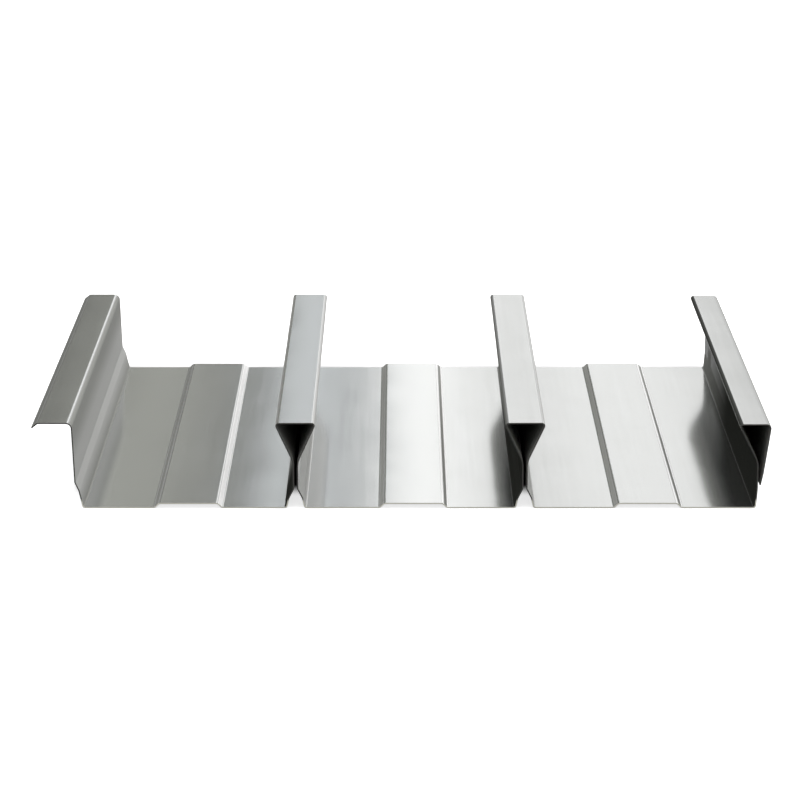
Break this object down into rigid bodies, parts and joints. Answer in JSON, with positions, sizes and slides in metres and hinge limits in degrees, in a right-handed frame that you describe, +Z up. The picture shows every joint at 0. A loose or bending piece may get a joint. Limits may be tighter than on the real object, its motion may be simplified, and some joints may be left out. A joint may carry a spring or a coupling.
{
  "type": "steel floor decking sheet",
  "caption": "Galvanised steel floor decking sheet, roll-formed with closed ribs between stiffened pans, an overlap edge and an underlap edge, as permanent formwork for a concrete slab.",
  "frame": {"origin": "middle of the sheet's overall width and length, at the level of the pans' undersides", "axes": "+X across the ribs from the overlap edge to the underlap edge, +Y along the ribs, +Z up from the pans to the ribs' tops"},
  "size_m": [0.5462, 0.4, 0.066],
  "materials": {
    "galvanised_steel": "satin zinc coating"
  },
  "bodies": {
    "root": {"deck_sheet": "galvanised_steel"}
  },
  "joints": []
}
